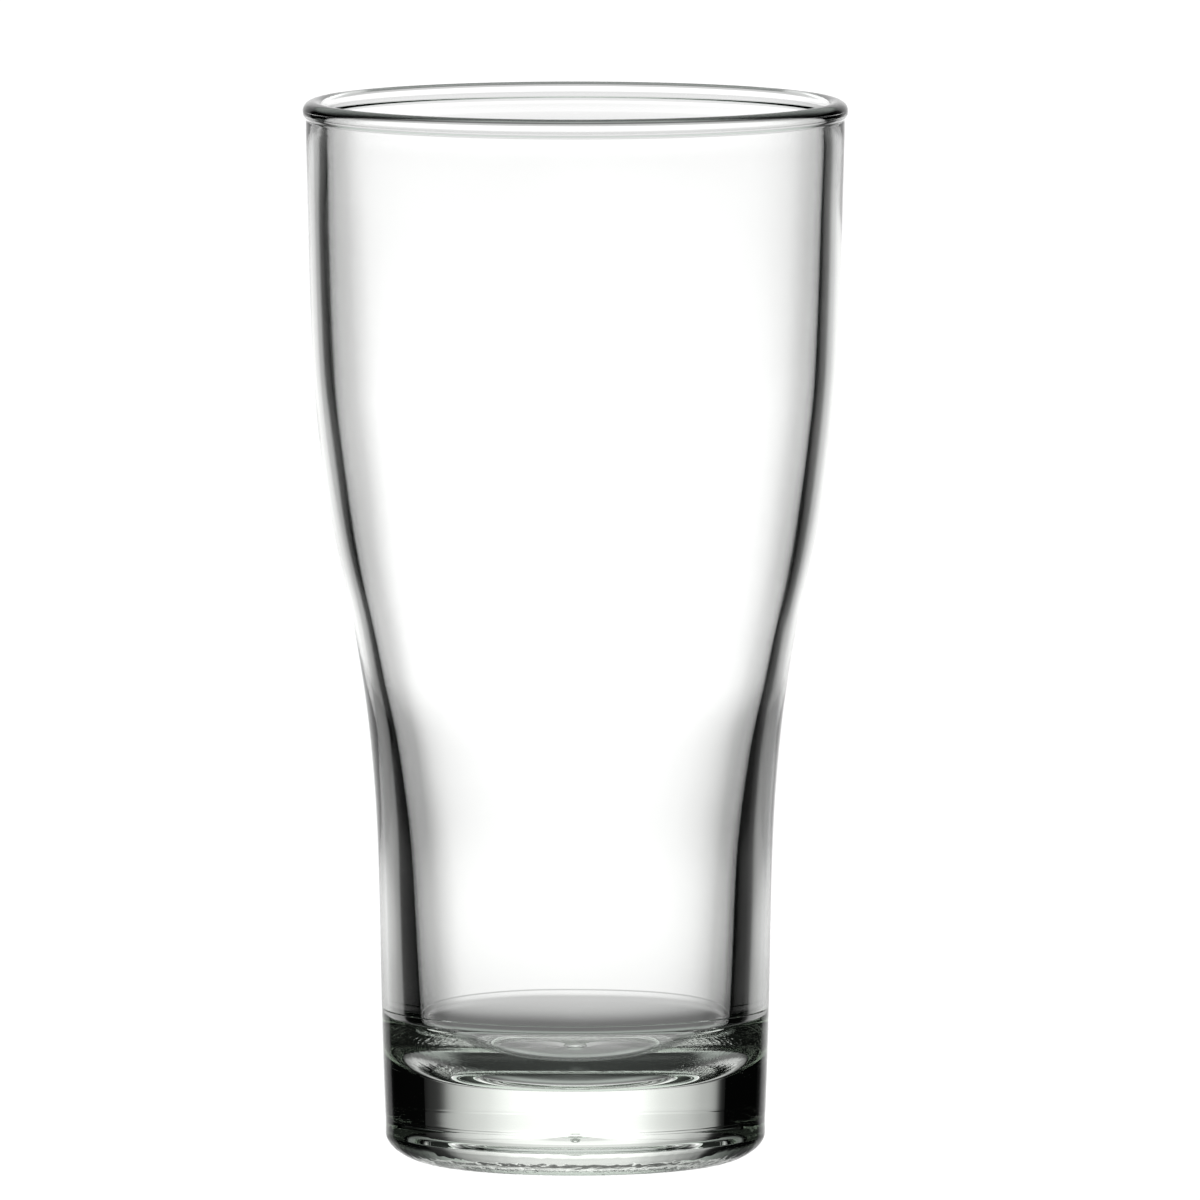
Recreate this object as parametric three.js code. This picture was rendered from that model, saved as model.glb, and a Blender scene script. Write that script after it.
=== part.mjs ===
// Pint beer glass, about one pint (568 ml) to the brim: a thick clear base with a
// shallow recess under it, a narrow waist, and a bowl that swells up to a rolled rim.
//
// Millimetres, +Z up. The origin is on the glass's axis, at the plane of the ring
// that it stands on. The glass is one moulding and has no moving parts. It is laid
// out as six zones stacked along the axis, and each zone meets the next on a
// shared flat ring, with no gap and no overlap.

import * as THREE from 'three';

// ---- driving dimensions ----------------------------------------------------
const SEGMENTS = 48;            // facets round the axis

const SEAM_Z = 7.4;             // the bottom plate's parting ring, above the foot
const BASE_TOP_Z = 24.7;        // where the hollow wall begins
const WAIST_TOP_Z = 83.7;       // top of the narrow part
const FLARE_TOP_Z = 123.7;      // top of the part that swells out
const BOWL_TOP_Z = 167.3;       // the wall's end, just under the rim bead
const HEIGHT = 172.35;          // top of the rim

// outside of the wall: [height, radius]
const OUTER_WALL = [
  [SEAM_Z, 30.83],
  [12.7, 31.05],
  [18.2, 31.25],
  [BASE_TOP_Z, 31.44],
  [32.7, 31.62],
  [41.7, 31.8],
  [50.7, 32.06],
  [59.7, 32.52],
  [67.7, 33.2],
  [75.7, 34.14],
  [WAIST_TOP_Z, 35.42],
  [91.7, 36.96],
  [99.7, 38.72],
  [107.7, 40.26],
  [115.7, 41.42],
  [FLARE_TOP_Z, 42.2],
  [131.7, 42.7],
  [141.7, 43.04],
  [153.7, 43.3],
  [BOWL_TOP_Z, 43.6],
];

// inside of the wall: [height, radius]
const INNER_WALL = [
  [BASE_TOP_Z, 25.2],
  [32.7, 25.62],
  [41.7, 26.04],
  [50.7, 26.66],
  [59.7, 27.72],
  [67.7, 28.98],
  [75.7, 30.5],
  [WAIST_TOP_Z, 32.02],
  [91.7, 33.62],
  [99.7, 35.18],
  [107.7, 36.54],
  [115.7, 37.72],
  [FLARE_TOP_Z, 38.6],
  [131.7, 39.12],
  [141.7, 39.52],
  [153.7, 39.88],
  [BOWL_TOP_Z, 40.44],
];

// rolled rim, from the wall's outside over the top to its inside: [height, radius]
const RIM_BEAD = [
  [169.35, 43.62],
  [169.7, 43.88],
  [170.1, 44.06],
  [170.7, 44.12],
  [171.25, 44.02],
  [171.7, 43.75],
  [172.1, 43.2],
  [HEIGHT, 42.35],
  [172.2, 41.6],
  [171.8, 41.0],
  [170.9, 40.68],
  [169.2, 40.55],
];

// inside of the base: a short skirt under the wall, then a dish down to a flat centre
const SKIRT = [
  [24.1, 25.1],
  [23.0, 24.9],
];
const FLOOR_Z = 13.3;           // lowest point of the inside
const FLOOR_FLAT_R = 11.8;      // radius of the flat centre
const FLOOR_START = 24;         // degrees into the dish's ellipse at the skirt's edge
const FLOOR_STEPS = 8;

// foot: heel, standing ring and recess
const LOWER_WALL_R = 30.77;     // below the parting ring
const HEEL_H = 4.54;            // height of the rounded heel
const HEEL_P = 1.75;            // its superellipse power
const HEEL_STEPS = 6;
const RING_OUTER_R = 23.6;      // the flat ring that the glass stands on
const RING_INNER_R = 19.8;
const RECESS = [                // flat-topped hollow under the base, ring to centre
  [1.4, 19.15],
  [3.1, 18.5],
  [4.1, 17.5],
  [4.42, 15.4],
  [4.5, 11.0],
  [4.58, 6.2],
];
const PIP = [                   // low cone in the middle of it
  [4.75, 2.6],
  [5.0, 1.2],
];
const PIP_Z = 5.5;              // top of the cone

// ---- materials -------------------------------------------------------------
const clear = () => new THREE.MeshStandardMaterial({
  color: 0xe6efec,
  roughness: 0.03,
  metalness: 0.0,
  transparent: true,
  opacity: 0.35,
});

// ---- helpers ---------------------------------------------------------------
const between = (table, low, high) => table.filter(([z]) => z >= low && z <= high);

// Revolves a profile of [height, radius] pairs about +Z. The profile runs
// anticlockwise in the (radius, height) plane, so that the faces point out.
function revolve(name, profile) {
  const points = profile.map(([z, r]) => new THREE.Vector2(r, z));
  const geometry = new THREE.LatheGeometry(points, SEGMENTS);
  const position = geometry.attributes.position;
  for (let i = 0; i < position.count; i++) {
    position.setXYZ(i, position.getX(i), -position.getZ(i), position.getY(i));
  }
  geometry.computeVertexNormals();
  const mesh = new THREE.Mesh(geometry, clear());
  mesh.name = name;
  return mesh;
}

// A closed ring of wall between two heights.
function wallRing(name, low, high) {
  const outside = between(OUTER_WALL, low, high);
  const inside = between(INNER_WALL, low, high).reverse();
  return revolve(name, [...outside, ...inside, outside[0]]);
}

// ---- the zones, from the table upwards -------------------------------------
// foot_disc: the heel, the standing ring, the recess and its centre cone
const heel = [];
for (let i = 1; i <= HEEL_STEPS; i++) {
  const t = (Math.PI / 2) * (i / HEEL_STEPS);
  const across = i === HEEL_STEPS ? 1 : Math.sin(t) ** (2 / HEEL_P);
  const down = i === HEEL_STEPS ? 0 : Math.cos(t) ** (2 / HEEL_P);
  heel.push([HEEL_H * (1 - down), RING_OUTER_R + (LOWER_WALL_R - RING_OUTER_R) * across]);
}
const footDisc = revolve('foot_disc', [
  [PIP_Z, 0],
  ...[...PIP].reverse(),
  ...[...RECESS].reverse(),
  [0, RING_INNER_R],
  [0, RING_OUTER_R],
  ...heel,
  OUTER_WALL[0],
  [SEAM_Z, 0],
]);

// base_slug: the solid base, with the dished floor in its top
const [skirtZ, skirtR] = SKIRT[SKIRT.length - 1];
const start = (FLOOR_START * Math.PI) / 180;
const floor = [];
for (let i = 1; i <= FLOOR_STEPS; i++) {
  const a = start + (Math.PI / 2 - start) * (i / FLOOR_STEPS);
  const down = (Math.sin(a) - Math.sin(start)) / (1 - Math.sin(start));
  const across = Math.cos(a) / Math.cos(start);
  floor.push([
    skirtZ - (skirtZ - FLOOR_Z) * down,
    FLOOR_FLAT_R + (skirtR - FLOOR_FLAT_R) * across,
  ]);
}
floor[FLOOR_STEPS - 1] = [FLOOR_Z, FLOOR_FLAT_R];
const baseSlug = revolve('base_slug', [
  [SEAM_Z, 0],
  ...between(OUTER_WALL, SEAM_Z, BASE_TOP_Z),
  INNER_WALL[0],
  ...SKIRT,
  ...floor,
  [FLOOR_Z, 0],
]);

// waist_wall, flare_wall and bowl_wall: the hollow wall, which thins from 6.2 to 3.2 mm
const waistWall = wallRing('waist_wall', BASE_TOP_Z, WAIST_TOP_Z);
const flareWall = wallRing('flare_wall', WAIST_TOP_Z, FLARE_TOP_Z);
const bowlWall = wallRing('bowl_wall', FLARE_TOP_Z, BOWL_TOP_Z);

// rim_bead: the rolled rim, which stands 0.5 mm proud of the wall
const outsideEnd = OUTER_WALL[OUTER_WALL.length - 1];
const insideEnd = INNER_WALL[INNER_WALL.length - 1];
const rimBead = revolve('rim_bead', [outsideEnd, ...RIM_BEAD, insideEnd, outsideEnd]);

const glass = new THREE.Group();
glass.name = 'pint_glass';
glass.add(footDisc, baseSlug, waistWall, flareWall, bowlWall, rimBead);

export default glass;
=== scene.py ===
import math

import bpy
import numpy as np
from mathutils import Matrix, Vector


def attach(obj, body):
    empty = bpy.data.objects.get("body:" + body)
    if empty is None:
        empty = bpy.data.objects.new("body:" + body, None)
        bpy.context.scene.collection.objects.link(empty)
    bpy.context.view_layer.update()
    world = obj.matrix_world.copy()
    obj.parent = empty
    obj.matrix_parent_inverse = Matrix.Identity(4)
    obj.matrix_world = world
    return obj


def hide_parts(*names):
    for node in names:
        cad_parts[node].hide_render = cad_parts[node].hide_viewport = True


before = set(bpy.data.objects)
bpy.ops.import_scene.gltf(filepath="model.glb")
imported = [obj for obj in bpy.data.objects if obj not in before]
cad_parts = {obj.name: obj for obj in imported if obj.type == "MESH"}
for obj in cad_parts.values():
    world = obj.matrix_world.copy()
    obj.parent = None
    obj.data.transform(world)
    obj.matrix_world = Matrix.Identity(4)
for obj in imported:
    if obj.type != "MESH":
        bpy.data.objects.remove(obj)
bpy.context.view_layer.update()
MM = 0.001

# ---------------------------------------------------------------- profile, in mm
SEGMENTS = 384

SEAM_Z, BASE_TOP_Z, BOWL_TOP_Z, HEIGHT = 7.4, 24.7, 167.3, 172.35
OUTER_WALL = [  # [height, radius]
    (7.4, 30.83), (12.7, 31.05), (18.2, 31.25), (24.7, 31.44),
    (32.7, 31.62), (41.7, 31.80), (50.7, 32.06), (59.7, 32.52), (67.7, 33.20),
    (75.7, 34.14), (83.7, 35.42), (91.7, 36.96), (99.7, 38.72), (107.7, 40.26),
    (115.7, 41.42), (123.7, 42.20), (131.7, 42.70), (141.7, 43.04),
    (153.7, 43.30), (167.3, 43.60),
]
INNER_WALL = [
    (24.7, 25.20), (32.7, 25.62), (41.7, 26.04), (50.7, 26.66), (59.7, 27.72),
    (67.7, 28.98), (75.7, 30.50), (83.7, 32.02), (91.7, 33.62), (99.7, 35.18),
    (107.7, 36.54), (115.7, 37.72), (123.7, 38.60), (131.7, 39.12),
    (141.7, 39.52), (153.7, 39.88), (167.3, 40.44),
]
RIM_BEAD = [
    (167.3, 43.60), (168.4, 43.60), (169.1, 43.60), (169.4, 43.62), (169.58, 43.72), (169.72, 43.88),
    (169.95, 44.02), (170.3, 44.09), (170.7, 44.12),
    (171.1, 44.08), (171.5, 43.92), (171.9, 43.55), (172.2, 43.02),
    (HEIGHT, 42.35), (172.25, 41.7), (171.95, 41.15), (171.4, 40.8),
    (170.6, 40.66), (169.2, 40.55), (167.3, 40.44),
]
# dished inner floor: a crease under the wall, a cone, a round turn, a flat centre
FLOOR_Z, FLOOR_FLAT_R = 13.3, 11.8
# under the wall: a fine ring mark, then a short skirt down to the dish
SKIRT = [(24.60, 25.150), (24.1, 25.115), (23.5, 25.04), (23.0, 24.90)]
FLOOR_START, FLOOR_N = 24.0, 2.0
# heel: from the wall down to the flat ring that it stands on
HEEL_H, HEEL_P, RING_OUTER_R, RING_INNER_R = 4.54, 1.75, 23.6, 19.8
SEAM_STEP = 0.035
# underside: a flat-topped recess, with a shallow cone and a small peak in the middle
PUNT = [(0.0, 19.8), (0.3, 19.62), (1.4, 19.15), (2.7, 18.6), (3.6, 18.0), (4.12, 17.1), (4.34, 15.6),
        (4.44, 13.0), (4.49, 10.2), (4.53, 8.2)]
PIP = [(5.5, 0.0), (5.44, 0.25), (5.18, 0.7), (4.92, 1.3), (4.74, 2.3), (4.66, 3.5), (4.61, 4.8), (4.57, 6.2)]


def spline(xs, ys, at, slope0=None, slope1=None):
    """A cubic spline through the points: natural at each end, or with a set slope there."""
    xs, ys, at = (np.asarray(v, float) for v in (xs, ys, at))
    n = len(xs)
    h = np.diff(xs)
    A = np.zeros((n, n))
    b = np.zeros(n)
    for i in range(1, n - 1):
        A[i, i - 1], A[i, i], A[i, i + 1] = h[i - 1], 2 * (h[i - 1] + h[i]), h[i]
        b[i] = 6 * ((ys[i + 1] - ys[i]) / h[i] - (ys[i] - ys[i - 1]) / h[i - 1])
    if slope0 is None:
        A[0, 0] = 1
    else:
        A[0, 0], A[0, 1], b[0] = 2 * h[0], h[0], 6 * ((ys[1] - ys[0]) / h[0] - slope0)
    if slope1 is None:
        A[-1, -1] = 1
    else:
        A[-1, -1], A[-1, -2] = 2 * h[-1], h[-1]
        b[-1] = 6 * (slope1 - (ys[-1] - ys[-2]) / h[-1])
    m = np.linalg.solve(A, b)
    k = np.clip(np.searchsorted(xs, at) - 1, 0, n - 2)
    t = at - xs[k]
    return (
        ys[k]
        + t * ((ys[k + 1] - ys[k]) / h[k] - h[k] * (2 * m[k] + m[k + 1]) / 6)
        + t**2 * m[k] / 2
        + t**3 * (m[k + 1] - m[k]) / (6 * h[k])
    )


def along(points, step, closed_slopes=None):
    """Points [height, radius] evenly spaced along a smooth curve through the given ones."""
    p = np.array(points, float)
    d = np.concatenate([[0], np.cumsum(np.hypot(*np.diff(p, axis=0).T))])
    n = max(int(math.ceil(d[-1] / step)), 2)
    s = np.linspace(0, d[-1], n * 8 + 1)
    z, r = spline(d, p[:, 0], s), spline(d, p[:, 1], s)
    e = np.concatenate([[0], np.cumsum(np.hypot(np.diff(z), np.diff(r)))])
    u = np.linspace(0, e[-1], n + 1)
    return np.column_stack([np.interp(u, e, z), np.interp(u, e, r)])


def heel():
    t = np.linspace(0, math.pi / 2, 40)
    r0, r1 = RING_OUTER_R, OUTER_WALL[0][1] - SEAM_STEP
    return np.column_stack([
        HEEL_H * (1 - np.cos(t) ** (2 / HEEL_P)), r0 + (r1 - r0) * np.sin(t) ** (2 / HEEL_P)])


def profile():
    parts = []
    # underside: pip, punt, standing ring
    under = PIP + PUNT[::-1]
    parts.append(along(under[:-1], 0.3))
    ring = np.column_stack([np.zeros(16), np.linspace(RING_INNER_R, RING_OUTER_R, 16)])
    parts.append(ring)
    parts.append(along([tuple(v) for v in heel()], 0.22)[1:])
    r1 = OUTER_WALL[0][1]
    low = r1 - SEAM_STEP
    parts.append(np.array([
        (HEEL_H + 0.5, low), (HEEL_H + 1.1, low), (HEEL_H + 1.8, low), (SEAM_Z - 0.35, low),
        (SEAM_Z - 0.22, low), (SEAM_Z - 0.14, low + 0.006), (SEAM_Z - 0.06, r1 - 0.008),
        (SEAM_Z, r1 + 0.003), (SEAM_Z + 0.06, r1 + 0.005), (SEAM_Z + 0.13, r1 + 0.003),
        (SEAM_Z + 0.2, r1 + 0.003), (SEAM_Z + 0.35, r1 + 0.006)]))
    z = np.concatenate([np.arange(SEAM_Z + 0.8, 25, 0.8), np.arange(25, BOWL_TOP_Z - 1, 1.6)])
    o = np.array(OUTER_WALL)
    parts.append(np.column_stack([z, spline(o[:, 0], o[:, 1], z)]))
    parts.append(along(RIM_BEAD, 0.16))
    i = np.array(INNER_WALL)
    z = np.concatenate([BASE_TOP_Z + np.array([0, 0.04, 0.08, 0.15, 0.25, 0.45, 0.8, 1.3, 1.9]),
                        np.arange(27.2, 29.6, 0.7), np.arange(30, BOWL_TOP_Z - 1, 1.6)])[::-1]
    parts.append(np.column_stack([z, spline(i[:, 0], i[:, 1], z)]))
    # floor: a quarter ellipse from the crease to the flat centre
    parts.append(along(SKIRT, 0.12))
    top, r0 = SKIRT[-1]
    a = np.linspace(math.radians(FLOOR_START), math.pi / 2, 48)
    n = FLOOR_N
    q = np.column_stack([-np.sin(a) ** (2 / n), np.cos(a) ** (2 / n)])
    q = (q - [q[0, 0], 0]) / [1 + q[0, 0], q[0, 1]]
    parts.append(np.column_stack([
        top + (top - FLOOR_Z) * q[:, 0], FLOOR_FLAT_R + (r0 - FLOOR_FLAT_R) * q[:, 1]])[1:])
    parts.append(np.column_stack([np.full(14, FLOOR_Z), np.linspace(FLOOR_FLAT_R, 0, 15)[1:]]))
    return np.concatenate(parts)


P = profile()


rng = np.random.default_rng(7)


def waves(count, turns, rises, r, z, a):
    """A smooth random field on the surface: a sum of waves round and up the glass."""
    f = np.zeros(np.broadcast(r, z, a).shape)
    for _ in range(count):
        k = int(rng.integers(turns[0], turns[1] + 1))
        m = rng.uniform(*rises)
        f = f + np.sin(k * a + m * z + rng.uniform(0, 2 * math.pi))
    return f / math.sqrt(count / 2)


def texture_of_the_mould(r, z, a):
    """Moves the points by hundredths of a millimetre: stipple on the standing ring, and slow waves in the wall."""
    n = r.shape[1]
    i = np.arange(n)[None, :]
    top = int(np.argmax(z[0]))
    inside = (i > top) & (z > 23.0)
    outside = (i < top) & (z > 9.0)
    fade = np.clip((z - 24.0) / 20, 0, 1) * np.clip((165.0 - z) / 10, 0, 1)
    slow = waves(10, (2, 9), (-0.05, 0.05), r, z, a)
    r = r + np.where(inside, 0.020 * fade * slow, 0.0)
    slow = waves(10, (2, 7), (-0.04, 0.04), r, z, a)
    r = r + np.where(outside, 0.010 * fade * slow, 0.0)
    # stipple: pits in the standing ring and on the turn of the heel
    spot = waves(30, (80, 200), (-6.0, 6.0), r, r * 1.0, a)
    spot2 = waves(18, (20, 60), (-1.2, 1.2), r, r * 1.0, a)
    pit = np.clip(spot + 0.6 * spot2 - 0.2, 0, 2.0)
    on_ring = np.clip((r - 18.9) / 0.8, 0, 1) * np.clip((4.2 - z) / 1.6, 0, 1) * (i < top)
    lean = np.clip(z / 3.0, 0, 1)
    r = r - 0.07 * pit * on_ring * lean
    z = z + 0.08 * pit * on_ring * (1 - lean) ** 2
    return r, z


def lathe(name, prof, segments):
    inner = prof[1:-1]
    n = len(inner)
    ang = np.arange(segments) * 2 * math.pi / segments
    zz, rr = inner[:, 0], inner[:, 1]
    rr = np.repeat(rr[None, :], segments, 0)
    zz = np.repeat(zz[None, :], segments, 0)
    rr, zz = texture_of_the_mould(rr, zz, ang[:, None])
    co = np.empty((segments, n, 3))
    co[:, :, 0] = rr * np.cos(ang)[:, None]
    co[:, :, 1] = rr * np.sin(ang)[:, None]
    co[:, :, 2] = zz
    verts = np.concatenate([co.reshape(-1, 3), [[0, 0, prof[0][0]], [0, 0, prof[-1][0]]]]) * MM
    a = segments * n
    faces = []
    for j in range(segments):
        k = (j + 1) % segments
        for i in range(n - 1):
            faces.append((j * n + i, k * n + i, k * n + i + 1, j * n + i + 1))
        faces.append((a, k * n, j * n))
        faces.append((a + 1, j * n + n - 1, k * n + n - 1))
    mesh = bpy.data.meshes.new(name)
    mesh.from_pydata(verts.tolist(), [], faces)
    mesh.validate()
    mesh.polygons.foreach_set("use_smooth", [True] * len(mesh.polygons))
    mesh.update()
    ob = bpy.data.objects.new(name, mesh)
    bpy.context.scene.collection.objects.link(ob)
    return ob


glass = lathe("glass_body", P, SEGMENTS)

# ---------------------------------------------------------------- glass material
mat = bpy.data.materials.new("clear_glass")
mat.use_nodes = True
nt = mat.node_tree
nt.nodes.clear()
out = nt.nodes.new("ShaderNodeOutputMaterial")
bsdf = nt.nodes.new("ShaderNodeBsdfPrincipled")
bsdf.inputs["Base Color"].default_value = (1, 1, 1, 1)
bsdf.inputs["Transmission Weight"].default_value = 1.0
bsdf.inputs["Roughness"].default_value = 0.0
bsdf.inputs["IOR"].default_value = 1.52
nt.links.new(bsdf.outputs[0], out.inputs["Surface"])


def noise(scale, stretch, detail=2.0):
    """Noise over the surface, [scale] cells a metre, stretched along the axis by [stretch]."""
    where = nt.nodes.new("ShaderNodeTexCoord")
    grow = nt.nodes.new("ShaderNodeMapping")
    grow.inputs["Scale"].default_value = (1.0, 1.0, 1.0 / stretch)
    n = nt.nodes.new("ShaderNodeTexNoise")
    n.inputs["Scale"].default_value = scale
    n.inputs["Detail"].default_value = detail
    nt.links.new(where.outputs["Object"], grow.inputs["Vector"])
    nt.links.new(grow.outputs[0], n.inputs["Vector"])
    return n.outputs["Fac"]


def ramp(value, low, high, to_low, to_high):
    m = nt.nodes.new("ShaderNodeMapRange")
    for key, v in (("From Min", low), ("From Max", high), ("To Min", to_low), ("To Max", to_high)):
        m.inputs[key].default_value = v
    nt.links.new(value, m.inputs["Value"])
    return m.outputs["Result"]


def calc(op, a, b):
    m = nt.nodes.new("ShaderNodeMath")
    m.operation = op
    for i, v in enumerate((a, b)):
        if isinstance(v, (int, float)):
            m.inputs[i].default_value = v
        else:
            nt.links.new(v, m.inputs[i])
    return m.outputs[0]


# the foot's ring is frosted by its stipple; the rest is polished, with faint smears
place = nt.nodes.new("ShaderNodeTexCoord")
axes = nt.nodes.new("ShaderNodeSeparateXYZ")
nt.links.new(place.outputs["Object"], axes.inputs[0])
radius = calc("POWER", calc("ADD", calc("MULTIPLY", axes.outputs["X"], axes.outputs["X"]),
                            calc("MULTIPLY", axes.outputs["Y"], axes.outputs["Y"])), 0.5)
near_table = ramp(axes.outputs["Z"], 0.0026, 0.0006, 0.0, 1.0)
outside_recess = ramp(radius, 0.0192, 0.0200, 0.0, 1.0)
frost = calc("MULTIPLY", near_table, outside_recess)
grain = ramp(noise(2600.0, 1.0, 3.0), 0.42, 0.62, 0.0, 1.0)
smear = ramp(noise(55.0, 5.0, 4.0), 0.56, 0.74, 0.0, 0.018)
nt.links.new(calc("ADD", smear, calc("MULTIPLY", calc("MULTIPLY", frost, grain), 0.06)), bsdf.inputs["Roughness"])
# drawn-glass streaks up the wall, and the grain of the foot's ring
streak = calc("MULTIPLY", noise(420.0, 30.0, 2.0), 0.10)
relief = calc("ADD", streak, calc("MULTIPLY", calc("MULTIPLY", frost, grain), 0.8))
bump = nt.nodes.new("ShaderNodeBump")
bump.inputs["Strength"].default_value = 1.0
bump.inputs["Distance"].default_value = 0.00001
nt.links.new(relief, bump.inputs["Height"])
nt.links.new(bump.outputs[0], bsdf.inputs["Normal"])
vol = nt.nodes.new("ShaderNodeVolumeAbsorption")
vol.inputs["Color"].default_value = (0.82, 0.90, 0.79, 1)
vol.inputs["Density"].default_value = 7.5
nt.links.new(vol.outputs[0], out.inputs["Volume"])
glass.data.materials.append(mat)
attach(glass, "root")
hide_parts("rim_bead", "bowl_wall", "flare_wall", "waist_wall", "base_slug", "foot_disc")

# ---------------------------------------------------------------- camera
DIST, ELEV = 4.8, math.radians(5.15)
AIM = Vector((0.00400, 0.0, 0.0912))
cam = bpy.data.cameras.new("camera")
cam.sensor_width = 36.0
cam.lens = DIST / 0.000162 * 36.0 / 1200.0
cam.clip_end = 50
camera = bpy.data.objects.new("camera", cam)
bpy.context.scene.collection.objects.link(camera)
camera.location = AIM + Vector((0, -math.cos(ELEV), math.sin(ELEV))) * DIST
camera.rotation_euler = (AIM - camera.location).to_track_quat("-Z", "Y").to_euler()
bpy.context.scene.camera = camera

# ---------------------------------------------------------------- studio
# A light tent round the glass. It is fixed to the camera, as a photographer turns
# the glass and not the lights: bright straight behind the glass, fading to black
# at the sides, which draws the dark edges.
LIGHT = [  # degrees to the right of the line of sight, and how bright the tent is there
    (-90, 0.004), (-44, 0.004), (-39, 0.01), (-36, 0.08), (-30, 0.35), (-20, 0.7), (0, 1.0),
    (20, 0.7), (29, 0.3), (33, 0.06), (36, 0.012), (44, 0.006), (90, 0.004),
]
RISE = [  # degrees above the line of sight, and the share of that which is left
    (-90, 0.05), (-65, 0.05), (-55, 0.07), (-48, 0.14), (-42, 0.30), (-36, 0.40), (-30, 0.30), (-20, 0.12), (10, 0.3),
    (22, 0.28), (30, 0.10), (36, 0.0), (90, 0.0),
]
GLOW = [  # degrees above the line of sight, and the light that the table gives on every side
    (-90, 0.05), (-50, 0.04), (-35, 0.03), (-25, 0.01), (-15, 0.0), (90, 0.0),
]
CEILING = [  # degrees above the line of sight, and the light from the white ceiling
    (-90, 0.0), (16, 0.0), (23, 0.45), (32, 0.78), (45, 0.90), (60, 0.86), (90, 0.7),
]
WIDE = [  # degrees to either side, and the share of the ceiling's light that is left
    (0, 1.0), (20, 1.0), (30, 0.80), (40, 0.45), (50, 0.18), (60, 0.07), (90, 0.02), (180, 0.02),
]
# a softbox close behind the glass: millimetres to the right of its centre, and
# how bright it is there; then the same from its centre upwards
PANEL_GAP = 0.55
ACROSS = [
    (-440, 0.006), (-400, 0.010), (-385, 0.015), (-370, 0.03), (-350, 0.13), (-330, 0.33), (-310, 0.44),
    (-290, 0.50), (-270, 0.54), (-250, 0.62), (-230, 0.72), (-210, 0.80), (-190, 0.87), (-170, 0.96),
    (-150, 1.12), (-130, 1.27), (-110, 1.38), (-90, 1.40), (-60, 1.40), (0, 1.40), (60, 1.38), (90, 1.32),
    (110, 1.26), (130, 1.16), (150, 1.05), (170, 0.93), (190, 0.86), (210, 0.79), (230, 0.71), (250, 0.63),
    (270, 0.54), (290, 0.42), (310, 0.26), (330, 0.115), (350, 0.055), (370, 0.04), (400, 0.03), (440, 0.012),
]
UPWARD = [
    (-360, 0.17), (-300, 0.14), (-262, 0.15), (-250, 0.19), (-238, 0.26), (-222, 0.36), (-206, 0.43), (-186, 0.48),
    (-166, 0.50), (-140, 0.50), (-114, 0.57), (-106, 0.64), (-98, 0.72), (-86, 0.83), (-72, 0.92), (-55, 0.99), (-40, 1.0),
    (15, 1.0), (45, 0.93), (60, 0.88), (71, 0.80), (80, 0.68), (90, 0.62), (112, 0.64), (166, 0.66), (230, 0.58), (290, 0.56),
]
# the softbox's left edge leans out towards its foot, and its right edge a little
LEAN, LEAN_FROM, LEAN_TO = 46, 20, -60
FLARE, FLARE_FROM, FLARE_TO = 34, -66, -92


def curve(t, points, unit, top):
    """A curve node that turns an angle in degrees, or a length in mm, into a brightness."""
    low, high = points[0][0], points[-1][0]
    mr = t.nodes.new("ShaderNodeMapRange")
    mr.inputs["From Min"].default_value = low * unit
    mr.inputs["From Max"].default_value = high * unit
    cv = t.nodes.new("ShaderNodeFloatCurve")
    c = cv.mapping.curves[0]
    while len(c.points) < len(points):
        c.points.new(0.5, 0.5)
    for p, (x, y) in zip(c.points, points):
        p.location = ((x - low) / (high - low), y / top)
        p.handle_type = "AUTO_CLAMPED"
    cv.mapping.update()
    t.links.new(mr.outputs["Result"], cv.inputs["Value"])
    mul = t.nodes.new("ShaderNodeMath"); mul.operation = "MULTIPLY"
    mul.inputs[1].default_value = top
    t.links.new(cv.outputs[0], mul.inputs[0])
    return mr.inputs["Value"], mul.outputs[0]


def math_node(t, op, *inputs):
    n = t.nodes.new("ShaderNodeMath")
    n.operation = op
    for i, v in enumerate(inputs):
        if isinstance(v, (int, float)):
            n.inputs[i].default_value = v
        else:
            t.links.new(v, n.inputs[i])
    return n.outputs[0]


tent_mat = bpy.data.materials.new("tent")
tent_mat.use_nodes = True
t = tent_mat.node_tree
t.nodes.clear()
o = t.nodes.new("ShaderNodeOutputMaterial")
e = t.nodes.new("ShaderNodeEmission")
tc = t.nodes.new("ShaderNodeTexCoord")
sep = t.nodes.new("ShaderNodeSeparateXYZ")
t.links.new(tc.outputs["Object"], sep.inputs[0])
# the tent's own axes: +Y straight on past the glass, +X to the right, +Z up
side = math_node(t, "ARCTAN2", sep.outputs["X"], sep.outputs["Y"])
flat = math_node(t, "POWER", math_node(t, "ADD", math_node(t, "MULTIPLY", sep.outputs["X"], sep.outputs["X"]),
                                         math_node(t, "MULTIPLY", sep.outputs["Y"], sep.outputs["Y"])), 0.5)
up = math_node(t, "ARCTAN2", sep.outputs["Z"], flat)
s_in, s_out = curve(t, LIGHT, math.radians(1), 1.3)
t.links.new(side, s_in)
u_in, u_out = curve(t, RISE, math.radians(1), 1.3)
t.links.new(up, u_in)
g_in, g_out = curve(t, GLOW, math.radians(1), 0.1)
t.links.new(up, g_in)
c_in, c_out = curve(t, CEILING, math.radians(1), 1.0)
t.links.new(up, c_in)
w_in, w_out = curve(t, WIDE, math.radians(1), 1.0)
t.links.new(math_node(t, "ABSOLUTE", side), w_in)
total = math_node(t, "ADD", math_node(t, "MULTIPLY", s_out, u_out), math_node(t, "MULTIPLY", c_out, w_out))
t.links.new(math_node(t, "ADD", total, g_out), e.inputs["Strength"])
e.inputs["Color"].default_value = (0.93, 1.0, 0.95, 1)
t.links.new(e.outputs[0], o.inputs["Surface"])
tent_mat.cycles.emission_sampling = "NONE"

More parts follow.
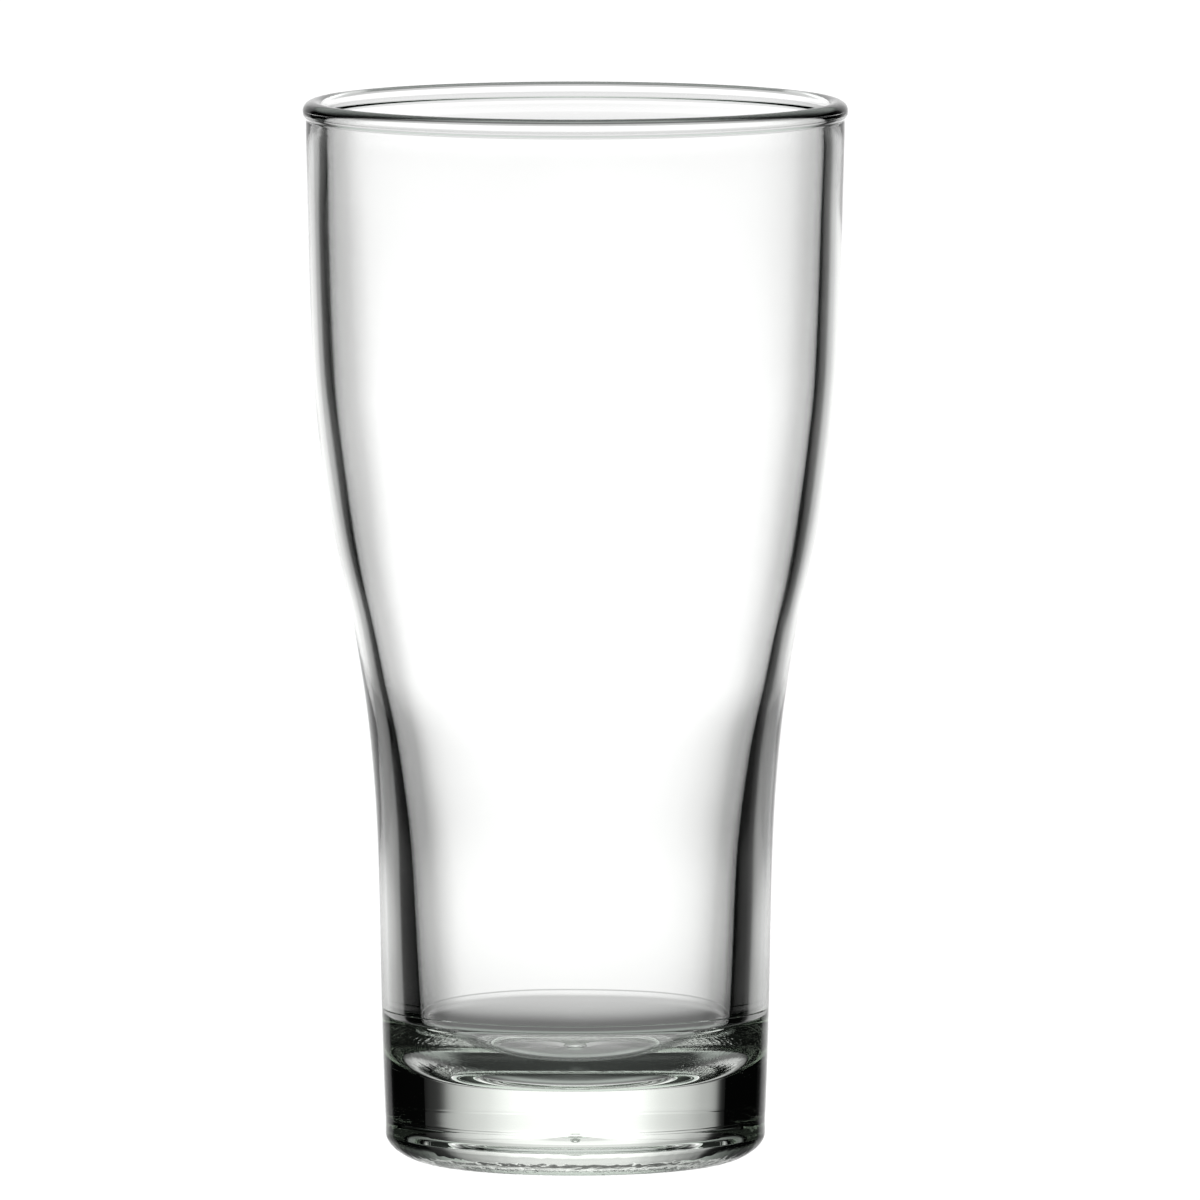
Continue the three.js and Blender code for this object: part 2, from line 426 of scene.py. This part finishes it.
import bmesh
bm = bmesh.new()
bmesh.ops.create_uvsphere(bm, u_segments=96, v_segments=48, radius=9.0)
tent_mesh = bpy.data.meshes.new("tent")
bm.to_mesh(tent_mesh)
bm.free()
tent_mesh.materials.append(tent_mat)
tent = bpy.data.objects.new("tent", tent_mesh)
bpy.context.scene.collection.objects.link(tent)
# the rig stays centred on the glass and turns with the camera
rig = bpy.data.objects.new("rig", None)
bpy.context.scene.collection.objects.link(rig)
rig.location = AIM
turn = rig.constraints.new("COPY_ROTATION")
turn.target = camera
tent.parent = rig
# camera axes: -Z ahead, +Y up; the tent's +Y is ahead and its +Z is up
tent.rotation_euler = (-math.pi / 2, 0, 0)
tent.visible_camera = False

panel_mat = bpy.data.materials.new("panel")
panel_mat.use_nodes = True
t = panel_mat.node_tree
t.nodes.clear()
o = t.nodes.new("ShaderNodeOutputMaterial")
e = t.nodes.new("ShaderNodeEmission")
tc = t.nodes.new("ShaderNodeTexCoord")
sep = t.nodes.new("ShaderNodeSeparateXYZ")
t.links.new(tc.outputs["Object"], sep.inputs[0])
s_in, s_out = curve(t, ACROSS, MM, 1.5)
lean = t.nodes.new("ShaderNodeMapRange")
for key, v in (("From Min", LEAN_FROM * MM), ("From Max", LEAN_TO * MM), ("To Min", 0.0), ("To Max", LEAN * MM)):
    lean.inputs[key].default_value = v
t.links.new(sep.outputs["Z"], lean.inputs["Value"])
half = t.nodes.new("ShaderNodeMapRange")
for key, v in (("From Min", -0.15), ("From Max", -0.33), ("To Min", 0.0), ("To Max", 1.0)):
    half.inputs[key].default_value = v
t.links.new(sep.outputs["X"], half.inputs["Value"])
flare = t.nodes.new("ShaderNodeMapRange")
for key, v in (("From Min", FLARE_FROM * MM), ("From Max", FLARE_TO * MM), ("To Min", 0.0), ("To Max", -FLARE * MM)):
    flare.inputs[key].default_value = v
t.links.new(sep.outputs["Z"], flare.inputs["Value"])
right = t.nodes.new("ShaderNodeMapRange")
for key, v in (("From Min", 0.12), ("From Max", 0.26), ("To Min", 0.0), ("To Max", 1.0)):
    right.inputs[key].default_value = v
t.links.new(sep.outputs["X"], right.inputs["Value"])
shift = math_node(t, "ADD", math_node(t, "MULTIPLY", lean.outputs["Result"], half.outputs["Result"]),
                  math_node(t, "MULTIPLY", flare.outputs["Result"], right.outputs["Result"]))
t.links.new(math_node(t, "ADD", sep.outputs["X"], shift), s_in)
u_in, u_out = curve(t, UPWARD, MM, 1.3)
t.links.new(sep.outputs["Z"], u_in)
t.links.new(math_node(t, "MULTIPLY", s_out, u_out), e.inputs["Strength"])
t.links.new(e.outputs[0], o.inputs["Surface"])
panel_mat.cycles.emission_sampling = "NONE"
mesh = bpy.data.meshes.new("panel")
x0, x1, z0, z1 = ACROSS[0][0] * MM, ACROSS[-1][0] * MM, UPWARD[0][0] * MM, UPWARD[-1][0] * MM
mesh.from_pydata([(x0, PANEL_GAP, z0), (x1, PANEL_GAP, z0), (x1, PANEL_GAP, z1), (x0, PANEL_GAP, z1)],
                 [], [(0, 1, 2, 3)])
mesh.materials.append(panel_mat)
panel = bpy.data.objects.new("panel", mesh)
bpy.context.scene.collection.objects.link(panel)
panel.parent = rig
panel.rotation_euler = (-math.pi / 2, 0, 0)
panel.visible_camera = False

floor_mat = bpy.data.materials.new("table")
floor_mat.use_nodes = True
t = floor_mat.node_tree
t.nodes.clear()
o = t.nodes.new("ShaderNodeOutputMaterial")
e = t.nodes.new("ShaderNodeEmission")
e.inputs["Strength"].default_value = 1.1
g = t.nodes.new("ShaderNodeNewGeometry")
tr = t.nodes.new("ShaderNodeBsdfTransparent")
mx = t.nodes.new("ShaderNodeMixShader")
t.links.new(g.outputs["Backfacing"], mx.inputs[0])
t.links.new(e.outputs[0], mx.inputs[1])
t.links.new(tr.outputs[0], mx.inputs[2])
t.links.new(mx.outputs[0], o.inputs["Surface"])
floor_mat.cycles.emission_sampling = "NONE"
mesh = bpy.data.meshes.new("floor")
n = 64
mesh.from_pydata([(4.0 * math.cos(2 * math.pi * k / n), 4.0 * math.sin(2 * math.pi * k / n), -0.00002) for k in range(n)], [], [tuple(range(n))])
mesh.materials.append(floor_mat)
floor = bpy.data.objects.new("floor", mesh)
bpy.context.scene.collection.objects.link(floor)
for way in ("diffuse", "glossy", "transmission", "volume_scatter", "shadow"):
    setattr(floor, "visible_" + way, False)

card = bpy.data.objects.new("card", bpy.data.meshes.new("card"))
card.data.from_pydata([(-2, -2, 0), (2, -2, 0), (2, 2, 0), (-2, 2, 0)], [], [(0, 1, 2, 3)])
card.data.materials.append(floor_mat)
bpy.context.scene.collection.objects.link(card)
card.parent = camera
card.location = (0, 0, -DIST - 3.9)
for way in ("diffuse", "glossy", "transmission", "volume_scatter", "shadow"):
    setattr(card, "visible_" + way, False)

world = bpy.data.worlds.new("world")
world.use_nodes = True
world.node_tree.nodes["Background"].inputs[0].default_value = (1, 1, 1, 1)
world.node_tree.nodes["Background"].inputs[1].default_value = 0.01
bpy.context.scene.world = world
sc = bpy.context.scene
sc.view_settings.view_transform = "Standard"
sc.cycles.max_bounces = 32
sc.cycles.transmission_bounces = 32
sc.cycles.glossy_bounces = 16
sc.cycles.transparent_max_bounces = 16
